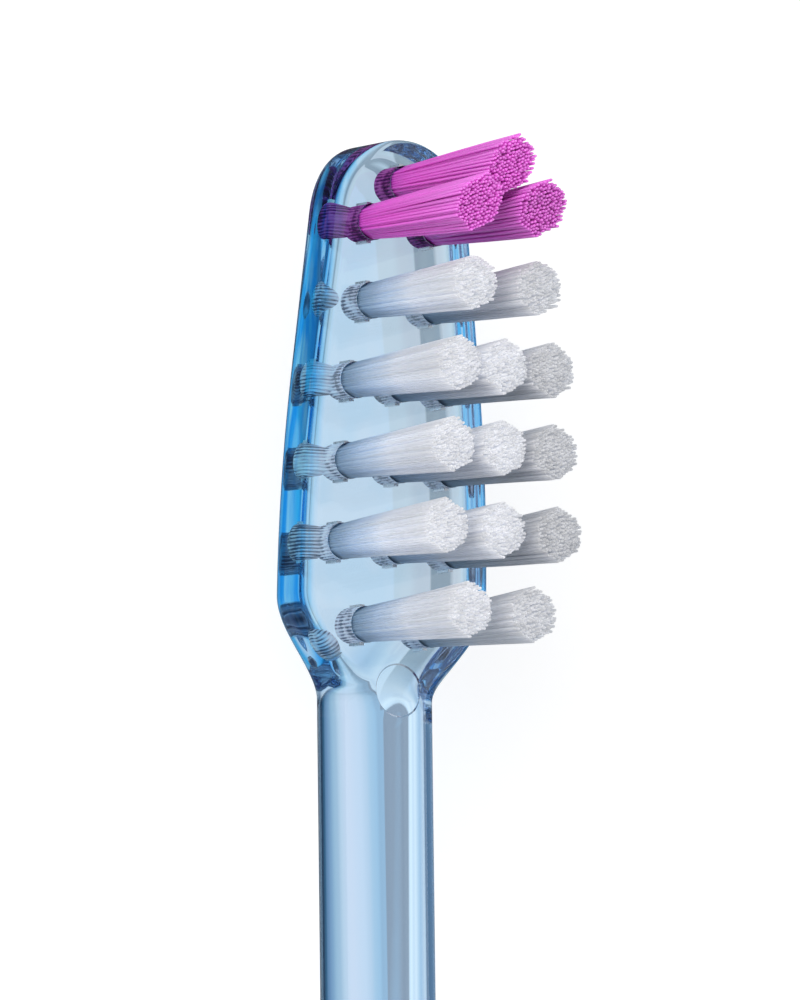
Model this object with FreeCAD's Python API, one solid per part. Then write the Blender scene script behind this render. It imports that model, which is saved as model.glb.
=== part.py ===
import FreeCAD, Part
import math
import os

V = FreeCAD.Vector

# A manual toothbrush in millimetres. It lies on its flat back: +X runs from the butt to the tip of
# the head, +Z is the way the bristles point, and the origin is under the middle, on the surface that
# it lies on. "Left" is +Y: the left side for someone who faces the bristles with the head up.

# Whole brush
overall_length = 190.0

# Head
head_width = 10.15
head_thickness = 4.2
face_height = 8.0
tip_radius = 3.7
side_radius = 95.0
front_edge_radius = 0.55
back_edge_radius = 2.4

# Bristle field, from the tip of the head backwards
first_row_inset = 2.05
first_row_gap = 1.9
second_row_gap = 3.65
row_gap = 3.75
narrow_column_offset = 1.72
wide_column_offsets = (2.5, 2.75, 3.05)
hole_radius = 0.85
hole_depth = 2.6

# Anchor plates
anchor_width = 1.9
anchor_height = 1.5
anchor_thickness = 0.25
anchor_lift = 0.4

# Tufts
tuft_length = 9.1
tuft_tip_radius = 1.32
tuft_clearance = 0.02
filament_radius = 0.16
filament_rings = 2
filaments_per_ring_step = 5
filament_sides = 4
root_sides = 8
filament_rooting = 0.3
root_recess = 0.25
dome_drop = 0.3
pink_slant = 1.1

# Neck
neck_width = 5.35
neck_thickness = 4.7
neck_length = 30.0
neck_rise = 1.6
neck_steps = 4
shoulder_length = 4.7
shoulder_corner_lag = 6
widest_before_last_row = 1.4
shoulder_steps = 6

# The neck is nearly oval: its back corners take up almost all of half its width, and its front
# corners almost all of the height that those leave
neck_back_corner_share = 0.99
neck_front_corner_share = 0.93

# Mould ejector mark on the front of the neck, below the last row
ejector_mark_diameter = 2.5
ejector_mark_depth = 0.06
ejector_mark_inset = 2.95

# Grip
grip_width = 12.6
grip_thickness = 10.6
flat_cut = 0.6
grip_front_corner = 4.4
grip_back_corner = 3.8

# High and low places of the grip's outline: place along it from the middle of the round butt to the
# start of the neck, then width, front height and front corner, and the steps to the next one. The
# fourth is the thumb rest, which is narrow, hollow and nearly square at its front corners.
grip_key_shares = (
    (0.00, 0.84, 0.82, 0.90, 3),
    (0.34, 1.00, 1.00, 1.00, 4),
    (0.62, 0.90, 0.95, 0.74, 3),
    (0.74, 0.86, 0.85, 0.56, 2),
    (0.82, 0.84, 0.87, 0.70, 4),
)
thumb_rest_key = 3

# The round butt narrows and thins over a quarter turn, to a small flat
butt_steps = 4
butt_turn_share = 0.86
butt_thinning_share = 0.45

# Raised ribs across the thumb rest
rib_count = 5
rib_pitch = 2.5
rib_radius = 0.8
rib_rise = 0.35
rib_length = 5.0
rib_taper_share = 0.35

# Overrun of the cutting tools, and the slack in telling two levels apart
overrun = 1.0
level_slack = 0.001

narrow_columns = (("left", narrow_column_offset), ("right", -narrow_column_offset))

# Rows of tufts from the tip of the head: distance from the row before, colour and columns
tuft_rows = [
    (first_row_inset, "pink", (("middle", 0),)),
    (first_row_gap, "pink", narrow_columns),
    (second_row_gap, "clear", narrow_columns),
]
for offset in wide_column_offsets:
    tuft_rows.append((row_gap, "clear", (("left", offset), ("middle", 0), ("right", -offset))))
tuft_rows.append((row_gap, "clear", narrow_columns))

tip_x = overall_length / 2
butt_x = -overall_length / 2
last_row_x = tip_x - sum(row[0] for row in tuft_rows)
widest_x = last_row_x + widest_before_last_row
neck_end_x = widest_x - shoulder_length
neck_start_x = neck_end_x - neck_length
butt_radius = grip_width / 2 * grip_key_shares[0][1]
butt_centre_x = butt_x + butt_radius
grip_length = neck_start_x - butt_centre_x

hole_floor_z = face_height - hole_depth
head_back_z = face_height - head_thickness
neck_back_z = face_height - neck_thickness
neck_back_corner = neck_width / 2 * neck_back_corner_share
neck_front_corner = (neck_thickness - neck_back_corner) * neck_front_corner_share


def quarter(start, corner, end):
    """A quarter of a circle from start to end, tangent to both sides of the corner."""
    centre = start + end - corner
    middle = centre + (corner - centre) * math.sqrt(0.5)
    return Part.Arc(start, middle, end).toShape()


def section(x, half_width, back, front, back_corner, front_corner):
    """Outline across the brush at x: four straight sides and four round corners."""
    corners = []
    for side, level, radius, inward in (
        (1, back, back_corner, 1),
        (1, front, front_corner, -1),
        (-1, front, front_corner, -1),
        (-1, back, back_corner, 1),
    ):
        on_level = V(x, side * (half_width - radius), level)
        corner = V(x, side * half_width, level)
        on_side = V(x, side * half_width, level + inward * radius)
        corners.append((on_level, corner, on_side))
    (a0, a, a1), (b1, b, b0), (c0, c, c1), (d1, d, d0) = corners
    return Part.Wire([
        Part.makeLine(d1, a0),
        quarter(a0, a, a1),
        Part.makeLine(a1, b0),
        quarter(b0, b, b1),
        Part.makeLine(b1, c0),
        quarter(c0, c, c1),
        Part.makeLine(c1, d0),
        quarter(d0, d, d1),
    ])


def mix(a, b, share):
    """The value, or the row of values, that lies a share of the way from a to b."""
    if isinstance(a, tuple):
        return tuple(mix(p, q, share) for p, q in zip(a, b))
    return a + (b - a) * share


def wave(share):
    """Half a cosine wave from 0 to 1, level at both ends."""
    return (1 - math.cos(math.pi * share)) / 2


def raised(sizes, rise):
    """The same section, moved up by rise."""
    half_width, back, front, back_corner, front_corner = sizes
    return half_width, back + rise, front + rise, back_corner, front_corner


def loft(wires):
    return Part.makeLoft(wires, True, True)


def shoulder_rise(along):
    """How far the front has risen, a share of the way along the shoulder: it leaves the plane of the face
    gently and ends on the neck's own slope."""
    return neck_rise / neck_length * shoulder_length / 2 * along ** 2


def shoulder_sizes(along):
    """Section sizes along the shoulder. The corners change later than the width does."""
    sizes = mix(head_sizes, neck_sizes, wave(along))
    corners = mix(head_sizes, neck_sizes, wave(along) ** shoulder_corner_lag)
    return raised(sizes[:3] + corners[3:], shoulder_rise(along))


# Half width, back, front, back corner and front corner of the neck where it leaves the head, and of
# the head's widest place
neck_sizes = (neck_width / 2, neck_back_z, face_height, neck_back_corner, neck_front_corner)
head_sizes = (head_width / 2, head_back_z, face_height, back_edge_radius, front_edge_radius)
neck_start_sizes = raised(neck_sizes, shoulder_rise(1) + neck_rise)


def grip_sizes(width_share, front_share, corner_share):
    return (
        grip_width / 2 * width_share,
        -flat_cut,
        grip_thickness * front_share,
        grip_back_corner * width_share,
        grip_front_corner * corner_share,
    )


def butt_section(step):
    """Section of the round butt, which shrinks towards the middle of its height."""
    half_width, back, front, back_corner, front_corner = grip_sizes(*grip_key_shares[0][1:4])
    turn = math.pi / 2 * butt_turn_share * step / butt_steps
    narrowing = math.cos(turn)
    thinning = mix(1, narrowing, butt_thinning_share)
    middle = (front + back) / 2
    return section(
        butt_centre_x - butt_radius * math.sin(turn) / math.sin(math.pi / 2 * butt_turn_share),
        half_width * narrowing,
        mix(middle, back, thinning),
        mix(middle, front, thinning),
        back_corner * narrowing,
        front_corner * narrowing,
    )


def make_grip():
    """Round butt, grip, its run into the neck, and the neck, which slopes down to the head."""
    keys = [(row[0], grip_sizes(*row[1:4]), row[4]) for row in grip_key_shares]
    keys.append((1, neck_start_sizes, 0))
    wires = [butt_section(step) for step in range(butt_steps, 0, -1)]
    for (share, sizes, steps), (next_share, next_sizes, _) in zip(keys, keys[1:]):
        for step in range(steps):
            along = step / steps
            x = butt_centre_x + grip_length * mix(share, next_share, along)
            wires.append(section(x, *mix(sizes, next_sizes, wave(along))))
    for step in range(neck_steps + 1):
        along = step / neck_steps
        sizes = mix(neck_start_sizes, shoulder_sizes(1), along)
        wires.append(section(mix(neck_start_x, neck_end_x, along), *sizes))
    return loft(wires)


def make_ribs():
    """Ribs across the thumb rest, shorter towards both ends of the row."""
    along, width_share, front_share, corner_share, steps = grip_key_shares[thumb_rest_key]
    rest_x = butt_centre_x + grip_length * along
    crest = grip_thickness * front_share + rib_rise
    ribs = []
    for i in range(rib_count):
        place_share = 2 * i / (rib_count - 1) - 1
        x = rest_x + place_share * rib_pitch * (rib_count - 1) / 2
        half = rib_length / 2 * (1 - rib_taper_share * place_share ** 2)
        ribs.append(Part.makeCylinder(rib_radius, 2 * half, V(x, -half, crest - rib_radius), V(0, 1, 0)))
    return ribs


def tangent_points(centre_a, radius_a, centre_b, radius_b):
    """Points where one line on the +Y side touches two circles."""
    gap = centre_a - centre_b
    turn = math.atan2(gap.y, gap.x) + math.acos((radius_b - radius_a) / gap.Length)
    normal = V(math.cos(turn), math.sin(turn), 0)
    return centre_a + normal * radius_a, centre_b + normal * radius_b


def flip(point):
    return V(point.x, -point.y, point.z)


def rim_edges(plate, level):
    """Edges of the plate's outline at one level, without the straight one across its wide end."""
    found = []
    for edge in plate.Edges:
        box = edge.BoundBox
        at_level = box.ZLength < level_slack and abs(box.ZMin - level) < level_slack
        if at_level and box.XLength > level_slack:
            found.append(edge)
    return found


def make_head_plate():
    """Flat head from its widest place to its round tip, with both rims rounded."""
    tip_centre = V(tip_x - tip_radius, 0, head_back_z)
    side_centre = V(widest_x, head_width / 2 - side_radius, head_back_z)
    tip_touch, side_touch = tangent_points(tip_centre, tip_radius, side_centre, side_radius)
    widest = V(widest_x, head_width / 2, head_back_z)
    half_turn = math.asin((side_touch.x - widest_x) / side_radius) / 2
    side_mid = side_centre + V(math.sin(half_turn), math.cos(half_turn), 0) * side_radius
    tip = V(tip_x, 0, head_back_z)
    outline = Part.Wire([
        Part.Arc(widest, side_mid, side_touch).toShape(),
        Part.makeLine(side_touch, tip_touch),
        Part.Arc(tip_touch, tip, flip(tip_touch)).toShape(),
        Part.makeLine(flip(tip_touch), flip(side_touch)),
        Part.Arc(flip(side_touch), flip(side_mid), flip(widest)).toShape(),
        Part.makeLine(flip(widest), widest),
    ])
    plate = Part.Face(outline).extrude(V(0, 0, head_thickness))
    plate = plate.makeFillet(front_edge_radius, rim_edges(plate, face_height))
    return plate.makeFillet(back_edge_radius, rim_edges(plate, head_back_z))


def make_shoulder():
    """Flare from the widest place of the head to the neck."""
    wires = []
    for step in range(shoulder_steps + 1):
        along = step / shoulder_steps
        x = widest_x - shoulder_length * along
        wires.append(section(x, *shoulder_sizes(along)))
    return loft(wires)


def make_ejector_mark():
    """Shallow round sink on the front of the shoulder, square to the slope there."""
    x = last_row_x - ejector_mark_inset
    along = (widest_x - x) / shoulder_length
    up = V(neck_rise / neck_length * along, 0, 1)
    up.normalize()
    floor = V(x, 0, face_height + shoulder_rise(along)) - up * ejector_mark_depth
    return Part.makeCylinder(ejector_mark_diameter / 2, ejector_mark_depth + overrun, floor, up)


def tuft_places():
    """Name, X, Y and colour of each tuft, row by row from the tip."""
    places = []
    x = tip_x
    for number, (gap, colour, columns) in enumerate(tuft_rows, start=1):
        x -= gap
        for side, y in columns:
            places.append(("row%d_%s" % (number, side), x, y, colour))
    return places


def make_anchor(x, y):
    """Metal plate that holds a folded tuft and bites both walls of its hole."""
    corner = V(x - anchor_width / 2, y - anchor_thickness / 2, hole_floor_z + anchor_lift)
    return Part.makeBox(anchor_width, anchor_thickness, anchor_height, corner)


def prism(centre, radius, sides, run):
    """Straight bar of a regular outline, from its centre along a run."""
    corners = []
    for k in range(sides + 1):
        turn = 2 * math.pi * k / sides
        corners.append(centre + V(math.cos(turn), math.sin(turn), 0) * radius)
    return Part.Face(Part.makePolygon(corners)).extrude(run)


def tip_rise(colour, out, turn):
    """How far a filament's tip stands over or under its tuft's: pink ones are cut on a slant that is
    longer towards the tip of the head, clear ones are domed."""
    if colour == "pink":
        return pink_slant / 2 * out * math.cos(turn)
    return -dome_drop * out ** 2


def make_tuft(colour):
    """A tuft over the origin: its folded root fills the hole round the anchor, and its filaments spread
    from there to their tips."""
    root_floor = V(0, 0, hole_floor_z + tuft_clearance)
    root_top = V(0, 0, face_height - root_recess)
    root_radius = hole_radius - tuft_clearance
    root = prism(root_floor, root_radius, root_sides, root_top - root_floor)
    base_reach = root_radius - filament_radius - tuft_clearance
    tip_reach = tuft_tip_radius - filament_radius
    filaments = []
    for ring in range(filament_rings + 1):
        out = ring / filament_rings
        count = max(1, ring * filaments_per_ring_step)
        for i in range(count):
            turn = 2 * math.pi * i / count
            heading = V(math.cos(turn), math.sin(turn), 0)
            start = root_top - V(0, 0, filament_rooting) + heading * (base_reach * out)
            tip_height = face_height + tuft_length + tip_rise(colour, out, turn)
            end = heading * (tip_reach * out) + V(0, 0, tip_height)
            filaments.append(prism(start, filament_radius, filament_sides, end - start))
    return root.multiFuse(filaments).cut(make_anchor(0, 0))


def make_handle(places):
    """The one-piece moulding: grip, neck and head, with its holes and anchor seats."""
    body = make_grip().multiFuse([make_shoulder(), make_head_plate()] + make_ribs())
    under = Part.makeBox(
        overall_length, grip_width + 2 * overrun, flat_cut + overrun,
        V(butt_x - overrun, -grip_width / 2 - overrun, -flat_cut - overrun),
    )
    cutters = [under, make_ejector_mark()]
    for name, x, y, colour in places:
        cutters.append(Part.makeCylinder(hole_radius, hole_depth + overrun, V(x, y, hole_floor_z)))
        cutters.append(make_anchor(x, y))
    return body.cut(cutters).removeSplitter()


def export(name, shape):
    solids = shape.Solids
    shape = solids[0] if len(solids) == 1 else shape
    print(name, len(solids), shape.isValid(), round(shape.Volume, 3))
    shape.exportStep("parts/%s.step" % name)


def main():
    os.makedirs("parts", exist_ok=True)
    places = tuft_places()
    export("handle", make_handle(places))
    masters = {colour: make_tuft(colour) for colour in ("pink", "clear")}
    for name, x, y, colour in places:
        tuft = masters[colour].copy()
        tuft.translate(V(x, y, 0))
        export("tuft_" + name, tuft)
        export("anchor_" + name, make_anchor(x, y))


main()
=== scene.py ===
import math
import random

import bmesh
import bpy
from mathutils import Matrix, Vector


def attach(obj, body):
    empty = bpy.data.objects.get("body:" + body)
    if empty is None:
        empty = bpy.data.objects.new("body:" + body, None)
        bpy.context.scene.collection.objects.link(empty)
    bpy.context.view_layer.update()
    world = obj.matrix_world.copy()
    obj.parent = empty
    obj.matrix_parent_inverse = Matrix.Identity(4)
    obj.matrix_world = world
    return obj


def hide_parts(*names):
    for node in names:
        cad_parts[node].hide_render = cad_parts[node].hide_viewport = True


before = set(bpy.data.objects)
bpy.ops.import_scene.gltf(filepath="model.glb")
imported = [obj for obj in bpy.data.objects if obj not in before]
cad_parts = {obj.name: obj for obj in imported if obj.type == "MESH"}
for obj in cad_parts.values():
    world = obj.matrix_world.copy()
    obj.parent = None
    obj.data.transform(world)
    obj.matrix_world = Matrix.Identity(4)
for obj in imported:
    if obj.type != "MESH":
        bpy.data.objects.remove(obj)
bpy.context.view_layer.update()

# Sizes are in millimetres, in the part's own frame: +X from the butt to the tip, +Z along the bristles.
MM = 0.001

# Whole brush
overall_length = 190.0

# Head
head_width = 10.15
head_thickness = 4.2
face_height = 8.0
tip_radius = 3.7
side_radius = 95.0
front_edge_radius = 0.69
back_edge_radius = 2.4
tip_front_edge_radius = 0.3
tip_back_edge_radius = 0.9

# Bristle field, from the tip of the head backwards
first_row_inset = 2.05
first_row_gap = 1.9
second_row_gap = 3.65
row_gap = 3.75
narrow_column_offset = 1.72
wide_column_offsets = (2.5, 2.75, 3.05)

# Tuft holes, with the grooves that the outer filaments press into their walls
hole_radius = 0.85
hole_depth = 2.6
hole_floor_round = 0.35
plain_mouth_depth = 0.02
flute_count = 30
flute_depth = 0.06
anchor_thickness = 0.25

# Neck and shoulder
neck_width = 5.35
neck_thickness = 4.7
neck_length = 30.0
neck_rise = 1.6
neck_back_corner_share = 0.99
neck_front_corner_share = 0.93
shoulder_length = 4.7
shoulder_corner_lag = 6
widest_before_last_row = 1.4

# Mould ejector mark
ejector_mark_diameter = 2.5
ejector_mark_depth = 0.06
ejector_mark_inset = 2.95
ejector_mark_wall = 0.07

# Grip: place share along it, then shares of its width, front height and front corner
grip_width = 12.6
grip_thickness = 10.6
flat_cut = 0.6
grip_front_corner = 4.4
grip_back_corner = 3.8
grip_key_shares = (
    (0.00, 0.84, 0.82, 0.90),
    (0.34, 1.00, 1.00, 1.00),
    (0.62, 0.90, 0.95, 0.74),
    (0.74, 0.86, 0.85, 0.56),
    (0.82, 0.84, 0.87, 0.70),
)
thumb_rest_key = 3
butt_thinning_share = 0.3

# Raised ribs across the thumb rest
rib_count = 5
rib_pitch = 2.5
rib_radius = 0.8
rib_rise = 0.35
rib_length = 5.0
rib_taper_share = 0.35
rib_round_share = 0.45

# Tufts
tuft_length = 9.1
tuft_tip_radius = 1.32
tuft_clearance = 0.02
dome_drop = 0.3
pink_slant = 1.1

# Filaments, and how much each differs from the next at its fold, its middle and its tip
filament_radius = 0.066
filament_pitch = 0.1
fold_clearance = 0.03
fold_scatter = 0.15
bow_scatter = 0.02
tip_scatter = 0.045
length_scatter = 0.08

# How a filament turns up beside the anchor plate, and how deep in the hole it starts and ends its way out
fold_turn_share = 0.7
fold_turn_rise = 0.06
fold_rise = 0.4
root_squeeze_share = 0.86
least_root_offset = 0.1
root_end_depth = 1.2
packed_depth = 0.4
bow_shares = ((0.25, 1.0), (0.5, 1.3), (0.75, 1.0))

# Steps of the meshes
corner_steps = 12
tip_steps = 28
straight_steps = 6
side_steps = 30
shoulder_steps = 30
neck_steps = 16
grip_steps = 26
butt_steps = 18
hole_floor_steps = 4
steps_per_flute = 5
mark_steps = 72
rib_sides = 48
rib_round_steps = 5
filament_sides = 8
filament_tip_turns = (0.5, 1.0, 1.35)

# Overrun of the cutting tools, slack in telling two levels apart, and the reach within which points merge
overrun = 1.0
level_slack = 0.01
merge_reach = 0.0001

# Degrees between two faces from which their edge is sharp
body_crease = 32.0
filament_crease = 60.0

tip_x = overall_length / 2
butt_x = -overall_length / 2
row_gaps = [first_row_inset, first_row_gap, second_row_gap] + [row_gap] * (len(wide_column_offsets) + 1)
last_row_x = tip_x - sum(row_gaps)
ejector_mark_x = last_row_x - ejector_mark_inset
widest_x = last_row_x + widest_before_last_row
neck_end_x = widest_x - shoulder_length
neck_start_x = neck_end_x - neck_length
butt_radius = grip_width / 2 * grip_key_shares[0][1]
butt_centre_x = butt_x + butt_radius
grip_length = neck_start_x - butt_centre_x
hole_floor_z = face_height - hole_depth
neck_back_corner = neck_width / 2 * neck_back_corner_share
neck_front_corner = (neck_thickness - neck_back_corner) * neck_front_corner_share

# Half width, back, front, back corner and front corner of the head's widest place and of the neck's top
head_sizes = (head_width / 2, face_height - head_thickness, face_height, back_edge_radius, front_edge_radius)
neck_sizes = (neck_width / 2, face_height - neck_thickness, face_height, neck_back_corner, neck_front_corner)

white = (1.0, 1.0, 1.0, 1.0)
black = (0.0, 0.0, 0.0, 1.0)
full = (1.0, 1.0, 1.0)
none = (0.0, 0.0, 0.0)

# Grain of the materials, in cells of noise to the metre, and the height of the plastic's ripples
ripple_grain = 260.0
haze_grain = 5200.0
streak_grain = 1700.0
streak_stretch = (0.05, 1.0, 1.0)
cloud_grain = 330.0
wall_shading_grain = 1200.0
nylon_grain = 3000.0
metal_grain = 4000.0
ripple_height = 0.04

# Tints of the clear plastic, by how far its surface faces aside, from 0 to 1: blue streaks of painted light
# and shade on the side wall, a grey band of painted shadow and a navy edge of painted shade
lit_streak_stops = [(0.20, full), (0.60, (0.68, 0.92, 1.0)), (0.97, (0.36, 0.88, 1.0))]
shade_streak_stops = [(0.20, full), (0.60, (0.28, 0.72, 1.0)), (0.97, (0.01, 0.42, 0.95))]
shadow_band_stops = [(0.235, none), (0.275, full), (0.62, full), (0.69, none)]
steep_range = (0.80, 0.92)
shade_edge_range = (0.88, 0.95)
shade_edge_down_range = (-0.08, -0.22)
shadow_band_grey = (0.26, 0.33, 0.37, 1.0)
shade_edge_navy = (0.04, 0.10, 0.18, 1.0)

# Faint clouds in the head, by their noise
cloud_stops = [(0.42, (0.83, 0.95, 1.0)), (0.58, full)]

# Where the tints and painted shade start and are full: past the end of the neck, and below the face
head_tint_fade = 2.0
side_tint_depths = (1.9, 1.4)
shadow_band_depths = (1.7, 2.0)

# Paint on the hole walls for the filaments seen through them, from between the grooves, dark as painted
# shade, to the middle of each, lit as painted light, and how much it covers
clear_hole_shading_stops = [(0.05, (0.10, 0.08, 0.11)), (0.45, (0.80, 0.62, 0.64)), (0.95, (1.0, 0.88, 0.86))]
pink_hole_shading_stops = [(0.05, (0.05, 0.004, 0.05)), (0.45, (0.22, 0.02, 0.15)), (0.95, (0.52, 0.10, 0.34))]
clear_hole_shading_share = 0.76
pink_hole_shading_share = 0.98
mark_ring_shade_share = 0.55
mark_wall_normals = (0.3, 0.96)
mark_wall_reach_share = 1.5

# Colours of the filaments from the floor of their hole to their tips, darker low in the hole as painted
# shade, and on clear filaments bluer near the hole as painted blue light from the plastic
pink_stops = [
    (0.20, (0.40, 0.05, 0.40)),
    (0.24, (0.78, 0.10, 0.68)),
    (0.36, (0.88, 0.15, 0.78)),
    (0.92, (0.93, 0.28, 0.88)),
]
clear_stops = [
    (0.20, (0.28, 0.38, 0.48)),
    (0.24, (0.49, 0.62, 0.73)),
    (0.40, (0.72, 0.79, 0.86)),
    (0.62, (0.87, 0.88, 0.90)),
    (0.95, (0.85, 0.85, 0.86)),
]

# Painted shadow and light on the floor seen through the plastic: millimetres outside the rim shadow's inner
# edge, and colour
head_shadow_tones = [
    (-3.0, (0.97, 0.97, 0.97)),
    (-1.54, (0.97, 0.97, 0.97)),
    (-1.44, (0.91, 0.89, 0.86)),
    (-0.64, (0.91, 0.89, 0.86)),
    (-0.24, (0.86, 0.81, 0.79)),
    (-0.015, (0.86, 0.81, 0.79)),
    (0.01, (0.44, 0.46, 0.48)),
    (0.5, (0.44, 0.46, 0.48)),
    (1.5, (0.93, 0.92, 0.90)),
    (3.0, (0.98, 0.98, 0.98)),
]
neck_light_and_shadow_tones = [
    (-3.0, (0.93, 0.96, 0.98)),
    (-1.25, (0.52, 0.71, 0.87)),
    (-0.9, (0.71, 0.86, 0.96)),
    (-0.45, (1.10, 1.13, 1.12)),
    (-0.24, (0.95, 1.02, 1.06)),
    (-0.12, (1.18, 1.21, 1.17)),
    (-0.03, (0.99, 1.07, 1.10)),
    (0.0, (0.40, 0.44, 0.50)),
    (0.12, (0.40, 0.44, 0.50)),
    (0.16, (0.50, 0.66, 0.78)),
    (0.48, (0.50, 0.66, 0.78)),
    (0.67, (0.58, 0.77, 0.89)),
    (1.07, (0.68, 0.83, 0.92)),
    (1.32, (0.83, 0.90, 0.96)),
    (1.8, (0.98, 0.99, 1.03)),
    (3.0, (1.08, 1.02, 1.04)),
]
far_shade_tones = [
    (0.0, (0.74, 0.85, 0.94)),
    (3.6, (0.74, 0.85, 0.94)),
    (5.0, (0.63, 0.80, 0.89)),
    (6.2, (0.47, 0.66, 0.78)),
    (8.1, (0.41, 0.62, 0.75)),
    (11.2, (0.28, 0.47, 0.64)),
    (17.7, (0.19, 0.35, 0.54)),
    (46.0, (0.04, 0.15, 0.27)),
]

# Rim shadow: how far outside the brush's outline it starts, and the stations that are kept of each
# stretch, one in so many, because a colour ramp holds 32 stops
rim_shadow_start = 0.15
neck_shadow_start = -0.32
neck_shadow_slope = 0.0135
tip_stride = 4
straight_stride = 6
side_stride = 3
shoulder_stride = 6
neck_stride = 5
grip_stride = 65
butt_stride = 9

# Floor
floor_reach = 30000.0
floor_gap = 0.02
floor_white = (0.62, 0.62, 0.62, 1.0)
floor_in_gloss = (0.06, 0.07, 0.08, 1.0)
floor_lit = (0.45, 0.45, 0.45, 1.0)

# Surroundings: their strength as a light, and the tones overhead that the clear plastic shows
world_light_strength = 0.72
ceiling_stops = [(0.78, full), (0.88, (0.22, 0.30, 0.38))]

# Dark cards beside the brush
card_place = (60.0, 260.0, 20.0)
card_size = (600.0, 40.0)
card_colour = (0.02, 0.08, 0.16, 1.0)

# Lamps: name, direction and distance from their aim, side, and power in watts
lamp_aim = (80.0, 0.0, 8.0)
lamps = (
    ("key", (0.35, 0.75, 0.6), 500.0, 420.0, 2.0),
    ("fill", (-0.2, -0.5, 0.85), 600.0, 400.0, 0.3),
)

# Camera of the photograph
camera_place = (1.162, 364.698, 583.878)
camera_forward = (0.1124, -0.5316, -0.8395)
camera_up = (0.9935, 0.0743, 0.0860)
camera_lens = 536.55
camera_sensor = 36.0
camera_clip = (10.0, 50000.0)


def mix(a, b, share):
    """What lies a share of the way from a to b, for numbers or tuples of them."""
    if isinstance(a, tuple):
        return tuple(mix(p, q, share) for p, q in zip(a, b))
    return a + (b - a) * share


def wave(share):
    """A share with a gentle start and end."""
    return (1 - math.cos(math.pi * share)) / 2


def raised(sizes, rise):
    half_width, back, front, back_corner, front_corner = sizes
    return half_width, back + rise, front + rise, back_corner, front_corner


def shoulder_rise(along):
    """How far the shoulder has risen at a share of its length: its slope grows evenly to the neck's."""
    return neck_rise / neck_length * shoulder_length / 2 * along ** 2


def shoulder_sizes(along):
    sizes = mix(head_sizes, neck_sizes, wave(along))
    corners = mix(head_sizes, neck_sizes, wave(along) ** shoulder_corner_lag)
    return raised(sizes[:3] + corners[3:], shoulder_rise(along))


def grip_sizes(width_share, front_share, corner_share):
    return (
        grip_width / 2 * width_share,
        -flat_cut,
        grip_thickness * front_share,
        grip_back_corner * width_share,
        grip_front_corner * corner_share,
    )


# Body


def head_stations():
    """Half of the head's outline, from the tip to the widest place: x, outward normal, sizes."""
    tip_centre = Vector((tip_x - tip_radius, 0))
    side_centre = Vector((widest_x, head_width / 2 - side_radius))
    gap = tip_centre - side_centre
    touch = math.atan2(gap.y, gap.x) + math.acos((side_radius - tip_radius) / gap.length)
    normal = Vector((math.cos(touch), math.sin(touch)))
    stations = []

    def add(point, outward, corners=head_sizes[3:]):
        stations.append((point.x, outward, (point.y,) + head_sizes[1:3] + corners))

    for step in range(tip_steps):
        turn = touch * step / tip_steps
        outward = Vector((math.cos(turn), math.sin(turn)))
        corners = mix((tip_back_edge_radius, tip_front_edge_radius), head_sizes[3:], wave(step / tip_steps))
        add(tip_centre + outward * tip_radius, outward, corners)
    for step in range(straight_steps):
        start = tip_centre + normal * tip_radius
        end = side_centre + normal * side_radius
        add(start.lerp(end, step / straight_steps), normal)
    for step in range(side_steps):
        turn = mix(touch, math.pi / 2, step / side_steps)
        outward = Vector((math.cos(turn), math.sin(turn)))
        add(side_centre + outward * side_radius, outward)
    return stations


def shank_stations():
    """From the widest place of the head along shoulder, neck and grip to the round butt."""
    across = Vector((0, 1))
    stations = []
    for step in range(shoulder_steps):
        along = step / shoulder_steps
        stations.append((widest_x - shoulder_length * along, across, shoulder_sizes(along)))
    neck_start_sizes = raised(shoulder_sizes(1), neck_rise)
    for step in range(neck_steps):
        along = step / neck_steps
        sizes = mix(shoulder_sizes(1), neck_start_sizes, along)
        stations.append((neck_end_x - neck_length * along, across, sizes))
    keys = [(row[0], grip_sizes(*row[1:])) for row in grip_key_shares] + [(1.0, neck_start_sizes)]
    for (share, sizes), (next_share, next_sizes) in reversed(list(zip(keys, keys[1:]))):
        for step in range(grip_steps):
            along = 1 - step / grip_steps
            x = butt_centre_x + grip_length * mix(share, next_share, along)
            stations.append((x, across, mix(sizes, next_sizes, wave(along))))
    half_width, back, front, back_corner, front_corner = keys[0][1]
    middle = (front + back) / 2
    for step in range(butt_steps + 1):
        turn = math.pi / 2 * step / butt_steps
        outward = Vector((-math.sin(turn), math.cos(turn)))
        thinning = mix(1, math.cos(turn), butt_thinning_share)
        sizes = (
            half_width * math.cos(turn), mix(middle, back, thinning), mix(middle, front, thinning),
            back_corner * thinning, front_corner * thinning,
        )
        stations.append((butt_centre_x - butt_radius * math.sin(turn), outward, sizes))
    return stations


def rim(x, outward, sizes):
    """Points up the side of the brush at one station, from the back, round both corners, to the front.
    A back that is lower than the resting surface is cut off flat there, part of the way round its corner."""
    half_width, back, front, back_corner, front_corner = sizes
    start = 0.0
    if back < 0:
        start = math.acos(1 + back / back_corner)
    points = []
    for step in range(corner_steps + 1):
        turn = mix(start, math.pi / 2, step / corner_steps)
        points.append((back_corner * (1 - math.sin(turn)), back + back_corner * (1 - math.cos(turn))))
    for step in range(corner_steps + 1):
        turn = math.pi / 2 * step / corner_steps
        points.append((front_corner * (1 - math.cos(turn)), front - front_corner * (1 - math.sin(turn))))
    return [(x - outward.x * inset, half_width - outward.y * inset, z) for inset, z in points]


def mesh_object(name, mesh):
    data = bpy.data.meshes.new(name)
    mesh.to_mesh(data)
    mesh.free()
    made = bpy.data.objects.new(name, data)
    bpy.context.scene.collection.objects.link(made)
    return made


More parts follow.
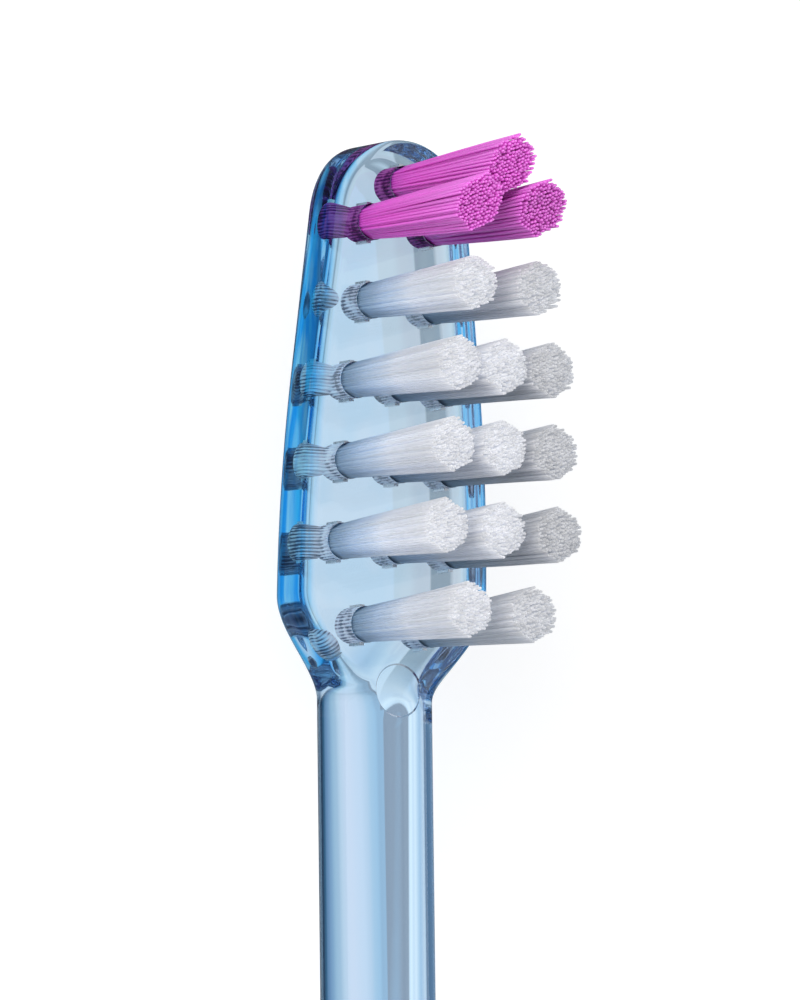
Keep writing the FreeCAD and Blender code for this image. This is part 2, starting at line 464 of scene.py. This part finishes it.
def make_body_mesh():
    """The body without holes and ribs: rims joined from station to station, on both sides."""
    stations = head_stations() + shank_stations()
    rims = [rim(*station) for station in stations]
    last = len(rims) - 1
    mesh = bmesh.new()
    left = []
    right = []
    for number, points in enumerate(rims):
        left.append([mesh.verts.new((x * MM, y * MM, z * MM)) for x, y, z in points])
        if number in (0, last):
            right.append(left[-1])
        else:
            right.append([mesh.verts.new((x * MM, -y * MM, z * MM)) for x, y, z in points])

    def face(*corners):
        kept = [v for k, v in enumerate(corners) if v not in corners[:k]]
        if len(kept) > 2:
            mesh.faces.new(kept)

    for a in range(last):
        b = a + 1
        for k in range(len(rims[0]) - 1):
            face(left[a][k], left[b][k], left[b][k + 1], left[a][k + 1])
            face(right[a][k], right[a][k + 1], right[b][k + 1], right[b][k])
        face(left[a][-1], left[b][-1], right[b][-1], right[a][-1])
        face(left[a][0], right[a][0], right[b][0], left[b][0])
    bmesh.ops.remove_doubles(mesh, verts=mesh.verts, dist=merge_reach * MM)
    bmesh.ops.recalc_face_normals(mesh, faces=mesh.faces)
    return mesh_object("handle_clear", mesh)


def add_rings(mesh, place, outline):
    """Adds a closed solid round an upright axis and returns its points: the outline gives each ring's
    height and its radii."""
    rings = []
    for z, radii in outline:
        ring = []
        for k, radius in enumerate(radii):
            turn = 2 * math.pi * k / len(radii)
            x = place[0] + radius * math.cos(turn)
            y = place[1] + radius * math.sin(turn)
            ring.append(mesh.verts.new((x * MM, y * MM, z * MM)))
        rings.append(ring)
    for low, high in zip(rings, rings[1:]):
        for k in range(len(low)):
            after = (k + 1) % len(low)
            mesh.faces.new((low[k], low[after], high[after], high[k]))
    mesh.faces.new(list(reversed(rings[0])))
    mesh.faces.new(rings[-1])
    return [vertex for ring in rings for vertex in ring]


def hole_cutter(mesh, x, y):
    """A tuft hole, with a rounded floor and a grooved wall."""
    turns = [2 * math.pi * k / steps_per_flute for k in range(flute_count * steps_per_flute)]

    def radii(radius, depth):
        return [radius - depth * (0.5 - 0.5 * math.cos(turn)) for turn in turns]

    plain = radii(hole_radius, 0)
    grooved = radii(hole_radius, flute_depth)
    outline = []
    for step in range(hole_floor_steps + 1):
        turn = math.pi / 2 * step / hole_floor_steps
        level = hole_floor_z + hole_floor_round * (1 - math.cos(turn))
        inset = hole_floor_round * (1 - math.sin(turn))
        outline.append((level, radii(hole_radius - inset, 0)))
    outline.append((hole_floor_z + 2 * hole_floor_round, grooved))
    outline.append((face_height - hole_floor_round, grooved))
    outline.append((face_height - plain_mouth_depth, plain))
    outline.append((face_height + overrun, plain))
    add_rings(mesh, (x, y), outline)


def mark_cutter(mesh):
    """The ejector's shallow sink, square to the slope of the shoulder there, with a sloping wall."""
    along = (widest_x - ejector_mark_x) / shoulder_length
    level = face_height + shoulder_rise(along)
    radii = [ejector_mark_diameter / 2] * mark_steps
    low_radii = [radius - ejector_mark_wall for radius in radii]
    outline = [(level - ejector_mark_depth, low_radii), (level, radii), (level + overrun, radii)]
    corners = add_rings(mesh, (ejector_mark_x, 0), outline)
    slope = math.atan(neck_rise / neck_length * along)
    pivot = Vector((ejector_mark_x, 0, level)) * MM
    bmesh.ops.rotate(mesh, verts=corners, cent=pivot, matrix=Matrix.Rotation(slope, 3, "Y"))


def rib_bars(mesh):
    """Bars with rounded ends across the thumb rest, shorter towards both ends of the row."""
    share, _, front_share, _ = grip_key_shares[thumb_rest_key]
    rest_x = butt_centre_x + grip_length * share
    crest = grip_thickness * front_share + rib_rise
    round_end = rib_radius * rib_round_share
    across = Matrix.Rotation(math.pi / 2, 3, "X")
    for number in range(rib_count):
        place = 2 * number / (rib_count - 1) - 1
        x = rest_x + place * rib_pitch * (rib_count - 1) / 2
        half = rib_length / 2 * (1 - rib_taper_share * place ** 2)
        outline = []
        for step in range(rib_round_steps, -1, -1):
            turn = math.pi / 2 * step / rib_round_steps
            radius = rib_radius - round_end * (1 - math.cos(turn))
            outline.append((-half + round_end * (1 - math.sin(turn)), [radius] * rib_sides))
        outline += [(-y, radii) for y, radii in reversed(outline)]
        corners = add_rings(mesh, (x, 0), outline)
        bmesh.ops.rotate(mesh, verts=corners, cent=Vector((x, 0, 0)) * MM, matrix=across)
        bmesh.ops.translate(mesh, verts=corners, vec=Vector((0, 0, crest - rib_radius)) * MM)


def combine(body, tool, operation):
    modifier = body.modifiers.new(tool.name, "BOOLEAN")
    modifier.operation = operation
    modifier.solver = "EXACT"
    modifier.object = tool


def bake(body):
    """Gives the body the mesh that its modifiers make, and drops them."""
    graph = bpy.context.evaluated_depsgraph_get()
    body.data = bpy.data.meshes.new_from_object(body.evaluated_get(graph))
    body.modifiers.clear()


def paint_walls(body, places):
    """Marks the faces of the hole walls and the ejector mark's wall for their painted shade, marks the holes
    of pink tufts, and gives the hole walls' points a wave that is high on the grooves.
    """
    wall = body.data.attributes.new("wall", "FLOAT", "FACE")
    pink_hole = body.data.attributes.new("pink_hole", "FLOAT", "FACE")
    groove = body.data.attributes.new("groove", "FLOAT", "POINT")
    steepest, flattest = mark_wall_normals
    for polygon in body.data.polygons:
        x, y, z = polygon.center / MM
        if x < ejector_mark_x - ejector_mark_diameter or z < hole_floor_z - level_slack:
            continue
        outside = math.hypot(x - ejector_mark_x, y) - ejector_mark_diameter / 2
        on_wall = -mark_wall_reach_share * ejector_mark_wall < outside < level_slack
        # The ejector mark's low wall gets part of the wall paint: a dark ring of painted shade
        if on_wall and steepest < polygon.normal.z < flattest:
            wall.data[polygon.index].value = mark_ring_shade_share
        holes = [(math.hypot(x - px, y - py), colour, px, py) for _, px, py, colour in places]
        gap, colour, middle_x, middle_y = min(holes)
        if gap > hole_radius or z > face_height - level_slack:
            continue
        wall.data[polygon.index].value = 1.0
        pink_hole.data[polygon.index].value = float(colour == "pink")
        for index in polygon.vertices:
            point = body.data.vertices[index].co / MM
            turn = math.atan2(point.y - middle_y, point.x - middle_x)
            groove.data[index].value = 0.5 + 0.5 * math.cos(flute_count * turn)


def make_handle(places):
    """The one-piece moulding, with its tuft holes, ejector mark and ribs."""
    body = make_body_mesh()
    cutters = bmesh.new()
    for _, x, y, _ in places:
        hole_cutter(cutters, x, y)
    mark_cutter(cutters)
    bars = bmesh.new()
    rib_bars(bars)
    tools = []
    for name, mesh, operation in (("cut_holes", cutters, "DIFFERENCE"), ("add_ribs", bars, "UNION")):
        bmesh.ops.recalc_face_normals(mesh, faces=mesh.faces)
        tools.append(mesh_object(name, mesh))
        combine(body, tools[-1], operation)
    bake(body)
    for tool in tools:
        bpy.data.objects.remove(tool)
    body.data.shade_smooth()
    body.data.set_sharp_from_angle(angle=math.radians(body_crease))
    body.modifiers.new("normals", "WEIGHTED_NORMAL").keep_sharp = True
    bake(body)
    paint_walls(body, places)
    return body


# Tufts


def tuft_places():
    """Name, x, y and colour of each tuft, from the tip of the head backwards."""
    narrow = (("left", narrow_column_offset), ("right", -narrow_column_offset))
    columns = [("pink", (("middle", 0.0),)), ("pink", narrow), ("clear", narrow)]
    for offset in wide_column_offsets:
        columns.append(("clear", (("left", offset), ("middle", 0.0), ("right", -offset))))
    columns.append(("clear", narrow))
    places = []
    x = tip_x
    for number, (gap, (colour, row)) in enumerate(zip(row_gaps, columns), start=1):
        x -= gap
        for side, y in row:
            places.append((f"row{number}_{side}", x, y, colour))
    return places


def packed_places():
    """Places of the filaments in a hole, close packed, with none on the middle line where the anchor is."""
    reach = hole_radius - tuft_clearance - flute_depth - filament_radius
    row_step = filament_pitch * math.sqrt(0.75)
    columns = int(reach / filament_pitch) + 1
    found = []
    row = 0
    while (row + 0.5) * row_step <= reach:
        y = (row + 0.5) * row_step
        shift = 0.5 * (row % 2)
        for column in range(-columns, columns + 1):
            x = (column + shift) * filament_pitch
            if math.hypot(x, y) <= reach:
                found += [(x, y), (x, -y)]
        row += 1
    return found, reach


def add_filament(mesh, tone_and_shade_layer, points, tone_and_shade):
    """A round filament along points, closed at its root and rounded at its tip."""
    outline = [(point, filament_radius) for point in points]
    heading = (points[-1] - points[-2]).normalized()
    for turn in filament_tip_turns:
        centre = points[-1] + heading * filament_radius * math.sin(turn)
        outline.append((centre, filament_radius * math.cos(turn)))
    off_axis = Vector((1, 0.2, 0))
    rings = []
    for number, (point, size) in enumerate(outline):
        before = outline[max(number - 1, 0)][0]
        after = outline[min(number + 1, len(outline) - 1)][0]
        along = (after - before).normalized()
        side = along.cross(off_axis).normalized()
        over = along.cross(side)
        ring = []
        for k in range(filament_sides):
            turn = 2 * math.pi * k / filament_sides
            vertex = mesh.verts.new((point + (side * math.cos(turn) + over * math.sin(turn)) * size) * MM)
            vertex[tone_and_shade_layer] = tone_and_shade
            ring.append(vertex)
        rings.append(ring)
    for low, high in zip(rings, rings[1:]):
        for k in range(filament_sides):
            after = (k + 1) % filament_sides
            mesh.faces.new((low[k], high[k], high[after], low[after]))
    mesh.faces.new(rings[0])
    mesh.faces.new(list(reversed(rings[-1])))


def tip_rise(colour, out_x, out):
    """How far a tip stands over its tuft's length: pink tufts are cut on a slant, clear ones are domed."""
    if colour == "pink":
        return pink_slant / 2 * out_x
    return -dome_drop * out ** 2


def filament_points(draw, colour, px, py, reach):
    """Points from the fold under the anchor plate, up beside it and through the hole's mouth to the tip."""
    mouth_share = (hole_radius - tuft_clearance - filament_radius) / reach
    tip_reach = tuft_tip_radius - filament_radius - tip_scatter
    out_x = px / reach
    out_y = py / reach
    side = math.copysign(1, py)
    root_y = side * (anchor_thickness / 2 + filament_radius) + py * root_squeeze_share
    root_y = side * min(abs(root_y), math.sqrt(max(reach ** 2 - px ** 2, least_root_offset ** 2)))
    floor_z = hole_floor_z + filament_radius + fold_clearance + fold_scatter * draw.random()
    spread = tip_reach + tip_scatter * draw.uniform(-1, 1)
    swerve = Vector((draw.gauss(0, 0.5), draw.gauss(0, 0.5), 0)) * tip_scatter
    tip_z = face_height + tuft_length - filament_radius + tip_rise(colour, out_x, math.hypot(out_x, out_y))
    tip_z -= length_scatter * draw.random() ** 2
    mouth = Vector((px * mouth_share, py * mouth_share, face_height))
    tip = Vector((out_x * spread, out_y * spread, tip_z)) + swerve
    bow = Vector((draw.gauss(0, 1), draw.gauss(0, 1), 0)) * bow_scatter
    return [
        Vector((px, 0, floor_z)),
        Vector((px, root_y * fold_turn_share, floor_z + fold_turn_rise)),
        Vector((px, root_y, floor_z + fold_rise)),
        Vector((px, root_y, face_height - root_end_depth)),
        Vector((px, py, face_height - packed_depth)),
        mouth,
        *(mouth.lerp(tip, share) + bow * strength for share, strength in bow_shares),
        tip,
    ]


def make_tuft(name, x, y, colour, seed):
    """A tuft's filaments, with tones that differ at random from filament to filament and are darker towards
    the right side of the head as painted shade.
    """
    draw = random.Random(seed)
    mesh = bmesh.new()
    tone_and_shade_layer = mesh.verts.layers.float.new("tone_and_shade")
    places, reach = packed_places()
    centre = Vector((x, y, 0))
    for px, py in places:
        points = filament_points(draw, colour, px, py, reach)
        # Random tone, less a painted shade that grows towards the right side of the head
        tone_and_shade = draw.random() - max(-y / wide_column_offsets[-1], 0)
        add_filament(mesh, tone_and_shade_layer, [centre + point for point in points], tone_and_shade)
    bmesh.ops.recalc_face_normals(mesh, faces=mesh.faces)
    made = mesh_object("bristles_" + name, mesh)
    made.data.shade_smooth()
    made.data.set_sharp_from_angle(angle=math.radians(filament_crease))
    return made


# Materials


class Tree:
    """Short calls for building the node tree of a material or of the world."""

    def __init__(self, owner):
        owner.use_nodes = True
        self.owner = owner
        self.nodes = owner.node_tree.nodes
        self.links = owner.node_tree.links
        self.nodes.clear()

    def add(self, kind, inputs=None, **settings):
        node = self.nodes.new(kind)
        for key, value in settings.items():
            setattr(node, key, value)
        for key, value in (inputs or {}).items():
            if isinstance(value, bpy.types.NodeSocket):
                self.links.new(value, node.inputs[key])
            else:
                node.inputs[key].default_value = value
        return node

    def calc(self, operation, first, second=0.0):
        return self.add("ShaderNodeMath", {0: first, 1: second}, operation=operation).outputs[0]

    def rescale(self, value, low, high, to_low=0.0, to_high=1.0):
        return self.add("ShaderNodeMapRange", {0: value, 1: low, 2: high, 3: to_low, 4: to_high}).outputs[0]

    def split(self, vector):
        return self.add("ShaderNodeSeparateXYZ", {0: vector}).outputs

    def noise(self, vector, scale, detail):
        return self.add("ShaderNodeTexNoise", {"Vector": vector, "Scale": scale, "Detail": detail}).outputs[0]

    def attribute(self, name):
        return self.add("ShaderNodeAttribute", attribute_name=name).outputs["Fac"]

    def ramp(self, factor, stops):
        node = self.add("ShaderNodeValToRGB", {0: factor})
        elements = node.color_ramp.elements
        while len(elements) < len(stops):
            elements.new(0.5)
        for element, (place, colour) in zip(elements, stops):
            element.position = place
            element.color = (*colour, 1.0)
        return node.outputs["Color"]

    def blend(self, share, first, second, **settings):
        inputs = {0: share, 6: first, 7: second}
        return self.add("ShaderNodeMix", inputs, data_type="RGBA", **settings).outputs[2]

    def mix_shaders(self, share, first, second):
        return self.add("ShaderNodeMixShader", {0: share, 1: first, 2: second}).outputs[0]

    def with_clear_shadow(self, body, tint):
        """The body's shader, with a shadow that lets tinted light through."""
        shade = self.add("ShaderNodeBsdfTransparent", {"Color": tint}).outputs[0]
        shadow_ray = self.add("ShaderNodeLightPath").outputs["Is Shadow Ray"]
        return self.mix_shaders(shadow_ray, body, shade)

    def finish(self, surface, volume=None):
        output = self.add("ShaderNodeOutputMaterial", {"Surface": surface})
        if volume is not None:
            self.links.new(volume, output.inputs["Volume"])
        return self.owner


def tints_and_painted_shading(tree, place):
    """Tints on the outside of the body: streaks of painted light and shade in blue on the head's side wall,
    faint clouds of tone on the rest of the head, a grey band of painted shadow round its back corner and a
    navy edge of painted shade low on the sides of the neck and grip."""
    normal = tree.split(tree.add("ShaderNodeNewGeometry").outputs["Normal"])
    spot = tree.split(place)
    aside = tree.calc("ABSOLUTE", normal["Y"])
    on_head = tree.rescale(spot["X"], neck_end_x * MM, (neck_end_x + head_tint_fade) * MM)

    # Blue streaks on the head's side wall, deeper where it faces more aside: painted light and shade
    stretched = tree.add("ShaderNodeMapping", {0: place, 3: streak_stretch}).outputs[0]
    streak = tree.rescale(tree.noise(stretched, streak_grain, 3.0), 0.42, 0.58)
    side_light_and_shade = tree.blend(streak, tree.ramp(aside, shade_streak_stops), tree.ramp(aside, lit_streak_stops))
    low, high = [(face_height - depth) * MM for depth in side_tint_depths]
    near_face = tree.rescale(spot["Z"], low, high)
    on_side = tree.calc("MAXIMUM", near_face, tree.rescale(aside, *steep_range))
    on_side = tree.calc("MULTIPLY", on_head, on_side)
    clouds = tree.blend(on_head, white, tree.ramp(tree.noise(place, cloud_grain, 2.0), cloud_stops))
    tint = tree.blend(on_side, clouds, side_light_and_shade)

    # Grey band round the head's back corner: painted shadow
    low, high = [(face_height - depth) * MM for depth in shadow_band_depths]
    shadow_band = tree.calc("MULTIPLY", tree.ramp(aside, shadow_band_stops), on_head)
    shadow_band = tree.calc("MULTIPLY", shadow_band, tree.rescale(spot["Z"], low, high))
    tint = tree.blend(shadow_band, tint, shadow_band_grey)

    # Navy edge low on the sides of the neck and grip: painted shade
    edge = tree.calc("MULTIPLY", tree.rescale(aside, *shade_edge_range), tree.rescale(on_head, 1.0, 0.0))
    edge = tree.calc("MULTIPLY", edge, tree.rescale(normal["Z"], *shade_edge_down_range))
    return tree.blend(edge, tint, shade_edge_navy)


def hole_wall_shading(tree, place):
    """How far the hole walls are painted, and the paint: the colour of the filaments seen through them,
    patchy, with painted shade between the grooves and painted light in them.
    """
    patchy = tree.rescale(tree.noise(place, wall_shading_grain, 3.0), 0.3, 0.7, -0.8, 0.8)
    groove = tree.calc("ADD", tree.attribute("groove"), patchy)
    pink_hole = tree.attribute("pink_hole")
    colour = tree.blend(pink_hole, tree.ramp(groove, clear_hole_shading_stops), tree.ramp(groove, pink_hole_shading_stops))
    wall_shaded = tree.rescale(pink_hole, 0.0, 1.0, clear_hole_shading_share, pink_hole_shading_share)
    share = tree.calc("MULTIPLY", tree.attribute("wall"), wall_shaded)
    return share, tree.add("ShaderNodeBsdfDiffuse", {"Color": colour}).outputs[0]


def clear_plastic():
    """Clear plastic that bends and soaks up light, faintly uneven and hazy on its surface, with tints of
    painted light and shade on its outside and on its hole walls.
    """
    tree = Tree(bpy.data.materials.new("clear_blue_plastic"))
    place = tree.add("ShaderNodeTexCoord").outputs["Object"]
    flow = tree.noise(place, ripple_grain, 3.0)
    bump = tree.add("ShaderNodeBump", {"Strength": 0.05, "Distance": ripple_height * MM, "Height": flow})
    haze = tree.noise(place, haze_grain, 2.0)
    glass = tree.add("ShaderNodeBsdfPrincipled", {
        "Base Color": tints_and_painted_shading(tree, place),
        "Roughness": tree.rescale(haze, 0.35, 0.75, 0.012, 0.035),
        "Normal": bump.outputs[0],
    })
    glass.inputs["IOR"].default_value = 1.5
    glass.inputs["Transmission Weight"].default_value = 1.0
    # The hole walls: the filaments' colour seen through them, with painted shade between the grooves and
    # painted light in them
    wall_shaded, wall_shading = hole_wall_shading(tree, place)
    body = tree.mix_shaders(wall_shaded, glass.outputs[0], wall_shading)
    volume = tree.add("ShaderNodeVolumeAbsorption")
    volume.inputs["Color"].default_value = (0.0, 0.47, 0.84, 1.0)
    volume.inputs["Density"].default_value = 65.0
    return tree.finish(tree.with_clear_shadow(body, (0.62, 0.80, 0.93, 1.0)), volume.outputs[0])


def filament_material(name, stops, clearness, shadow):
    """Satin nylon that lets some light through, toned from filament to filament, with painted shade towards
    the right side of the head and low in the hole, and painted blue light low on clear filaments.
    """
    tree = Tree(bpy.data.materials.new(name))
    place = tree.add("ShaderNodeTexCoord").outputs["Object"]
    # Colour by height along the tuft: painted shade low in the hole, and painted blue light low on clear
    # filaments
    along = tree.rescale(tree.split(place)["Z"], hole_floor_z * MM, (face_height + tuft_length) * MM)
    value = tree.rescale(tree.attribute("tone_and_shade"), -1.0, 1.0, 0.82, 1.05)
    toned = tree.add("ShaderNodeHueSaturation", {"Value": value, "Color": tree.ramp(along, stops)}).outputs[0]
    roughness = tree.rescale(tree.noise(place, nylon_grain, 3.0), 0.3, 0.7, 0.28, 0.42)
    shader = tree.add("ShaderNodeBsdfPrincipled", {"Base Color": toned, "Roughness": roughness})
    shader.inputs["IOR"].default_value = 1.5
    through = tree.add("ShaderNodeBsdfTranslucent", {"Color": toned})
    body = tree.mix_shaders(clearness, shader.outputs[0], through.outputs[0])
    return tree.finish(tree.with_clear_shadow(body, shadow))


def bright_metal():
    tree = Tree(bpy.data.materials.new("anchor_metal"))
    place = tree.add("ShaderNodeTexCoord").outputs["Object"]
    grain = tree.noise(place, metal_grain, 4.0)
    colour = tree.ramp(grain, [(0.3, (0.62, 0.63, 0.65)), (0.7, (0.80, 0.80, 0.80))])
    roughness = tree.rescale(grain, 0.3, 0.7, 0.22, 0.4)
    shader = tree.add("ShaderNodeBsdfPrincipled", {"Base Color": colour, "Roughness": roughness})
    shader.inputs["Metallic"].default_value = 1.0
    return tree.finish(shader.outputs[0])


# Studio


def make_camera():
    data = bpy.data.cameras.new("camera")
    data.sensor_width = camera_sensor
    data.lens = camera_lens
    data.clip_start = camera_clip[0] * MM
    data.clip_end = camera_clip[1] * MM
    camera = bpy.data.objects.new("camera", data)
    bpy.context.scene.collection.objects.link(camera)
    forward = Vector(camera_forward).normalized()
    right = forward.cross(Vector(camera_up)).normalized()
    up = right.cross(forward)
    turn = Matrix((right, up, -forward)).transposed()
    camera.matrix_world = Matrix.Translation(Vector(camera_place) * MM) @ turn.to_4x4()
    bpy.context.scene.camera = camera


def seen_rays(tree):
    """The kinds of ray, and 1 for those that show the background: camera, glossy and transmission rays."""
    path = tree.add("ShaderNodeLightPath").outputs
    direct = tree.calc("MAXIMUM", path["Is Camera Ray"], path["Is Glossy Ray"])
    return path, tree.calc("MAXIMUM", direct, path["Is Transmission Ray"])


def rim_shadow_places():
    """Places along the brush, as shares from butt to tip, and how far aside the rim shadow starts there."""
    head = head_stations()
    shank = shank_stations()
    neck_last = shoulder_steps + neck_steps
    butt_first = -1 - butt_steps
    kept = head[:tip_steps:tip_stride]
    kept += head[tip_steps:-side_steps:straight_stride]
    kept += head[-side_steps::side_stride]
    kept += shank[:shoulder_steps:shoulder_stride]
    kept += shank[shoulder_steps:neck_last:neck_stride]
    kept += shank[neck_last:butt_first:grip_stride]
    kept += shank[butt_first::butt_stride]
    found = []
    for x, _, sizes in kept:
        into_neck = neck_end_x - x
        start = min(neck_shadow_start + neck_shadow_slope * into_neck, rim_shadow_start)
        if into_neck < 0:
            start = mix(rim_shadow_start, neck_shadow_start, max(1 + into_neck / shoulder_length, 0))
        found.append(((x - butt_x) / overall_length, sizes[0] + start))
    return sorted(found)


def floor_shading_through_plastic(tree):
    """What the clear plastic shows of the floor: a painted rim shadow along the outline, with painted light
    beside it at the neck, and painted shade that darkens far off.
    """
    place = tree.split(tree.add("ShaderNodeNewGeometry").outputs["Position"])
    aside = tree.calc("ABSOLUTE", place["Y"])
    along = tree.rescale(place["X"], butt_x * MM, tip_x * MM)
    edge = tree.ramp(along, [(share, (start / grip_width,) * 3) for share, start in rim_shadow_places()])
    away = tree.calc("SUBTRACT", aside, tree.calc("MULTIPLY", edge, grip_width * MM))
    seen = []
    for rows in (head_shadow_tones, neck_light_and_shadow_tones, far_shade_tones):
        low = rows[0][0]
        high = rows[-1][0]
        stops = [((reach - low) / (high - low), colour) for reach, colour in rows]
        seen.append(tree.ramp(tree.rescale(away, low * MM, high * MM), stops))
    at_head, at_neck, far_shade = seen
    near_light_and_shadow = tree.blend(tree.rescale(place["X"], neck_end_x * MM, widest_x * MM), at_neck, at_head)
    return tree.blend(1.0, near_light_and_shadow, far_shade, blend_type="MULTIPLY")


def make_floor():
    """White floor, which the gloss of the brush finds dim and on which the clear plastic shows painted shadow
    and light.
    """
    mesh = bmesh.new()
    bmesh.ops.create_grid(mesh, x_segments=1, y_segments=1, size=floor_reach * MM)
    floor = mesh_object("floor", mesh)
    floor.location.z = -floor_gap * MM
    tree = Tree(bpy.data.materials.new("floor_white"))
    path, seen = seen_rays(tree)
    through = path["Is Transmission Ray"]
    glossy = path["Is Glossy Ray"]
    shown = tree.blend(glossy, floor_white, floor_in_gloss)
    # Rays through the clear plastic see the floor's painted shadow and light
    shown = tree.blend(through, shown, floor_shading_through_plastic(tree))
    glow = tree.add("ShaderNodeEmission", {"Color": shown, "Strength": seen})
    lit = tree.blend(tree.calc("MAXIMUM", through, glossy), floor_lit, black)
    plain = tree.add("ShaderNodeBsdfDiffuse", {"Color": lit})
    both = tree.add("ShaderNodeAddShader", {0: glow.outputs[0], 1: plain.outputs[0]})
    floor.data.materials.append(tree.finish(both.outputs[0]))


def make_card(name, side):
    """A dark card beside the brush that only its gloss and clear plastic see."""
    mesh = bmesh.new()
    bmesh.ops.create_grid(mesh, x_segments=1, y_segments=1, size=0.5)
    card = mesh_object(name, mesh)
    card.scale = (card_size[0] * MM, card_size[1] * MM, 1)
    card.location = Vector((card_place[0], side * card_place[1], card_place[2])) * MM
    card.rotation_mode = "QUATERNION"
    card.rotation_quaternion = Vector((0, -side, 0)).to_track_quat("Z", "Y")
    tree = Tree(bpy.data.materials.new(name + "_matt"))
    card.data.materials.append(tree.finish(tree.add("ShaderNodeEmission", {"Color": card_colour}).outputs[0]))
    card.visible_camera = False
    card.visible_diffuse = False
    card.visible_shadow = False


def make_world():
    """Even white light, which the clear plastic shows darker overhead."""
    world = bpy.data.worlds.new("studio")
    bpy.context.scene.world = world
    tree = Tree(world)
    path, seen = seen_rays(tree)
    strength = tree.rescale(seen, 0.0, 1.0, world_light_strength, 1.0)
    height = tree.split(tree.add("ShaderNodeTexCoord").outputs["Generated"])["Z"]
    sky = tree.blend(path["Is Transmission Ray"], white, tree.ramp(height, ceiling_stops))
    background = tree.add("ShaderNodeBackground", {"Color": sky, "Strength": strength})
    tree.add("ShaderNodeOutputWorld", {"Surface": background.outputs[0]})


def make_lamp(name, direction, distance, side, power):
    """A soft square lamp that lights the brush and doesn't show in its gloss or clear plastic."""
    data = bpy.data.lights.new(name, "AREA")
    data.shape = "RECTANGLE"
    data.size = side * MM
    data.size_y = side * MM
    data.energy = power
    lamp = bpy.data.objects.new(name, data)
    bpy.context.scene.collection.objects.link(lamp)
    heading = Vector(direction).normalized()
    lamp.location = Vector([value * MM for value in lamp_aim]) + heading * distance * MM
    lamp.rotation_mode = "QUATERNION"
    lamp.rotation_quaternion = heading.to_track_quat("Z", "Y")
    lamp.visible_transmission = False
    lamp.visible_glossy = False


# Assembly

places = tuft_places()
handle = make_handle(places)
handle.data.materials.clear()
handle.data.materials.append(clear_plastic())
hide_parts("handle")
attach(handle, "root")

filament_finishes = {
    "pink": filament_material("pink_filament", pink_stops, clearness=0.27, shadow=(0.16, 0.02, 0.14, 1.0)),
    "clear": filament_material("clear_filament", clear_stops, clearness=0.7, shadow=(0.88, 0.89, 0.91, 1.0)),
}
anchor_finish = bright_metal()
for number, (name, x, y, colour) in enumerate(places):
    tuft = make_tuft(name, x, y, colour, number)
    tuft.data.materials.append(filament_finishes[colour])
    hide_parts("tuft_" + name)
    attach(tuft, "root")
    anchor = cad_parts["anchor_" + name]
    anchor.data.materials.clear()
    anchor.data.materials.append(anchor_finish)

make_camera()
make_floor()
make_world()
make_card("card_left", 1)
make_card("card_right", -1)
for lamp in lamps:
    make_lamp(*lamp)

scene = bpy.context.scene
scene.view_settings.view_transform = "Standard"
scene.cycles.max_bounces = 24
scene.cycles.transmission_bounces = 24
scene.cycles.transparent_max_bounces = 16
scene.cycles.glossy_bounces = 12
scene.cycles.diffuse_bounces = 8
scene.cycles.blur_glossy = 0.0
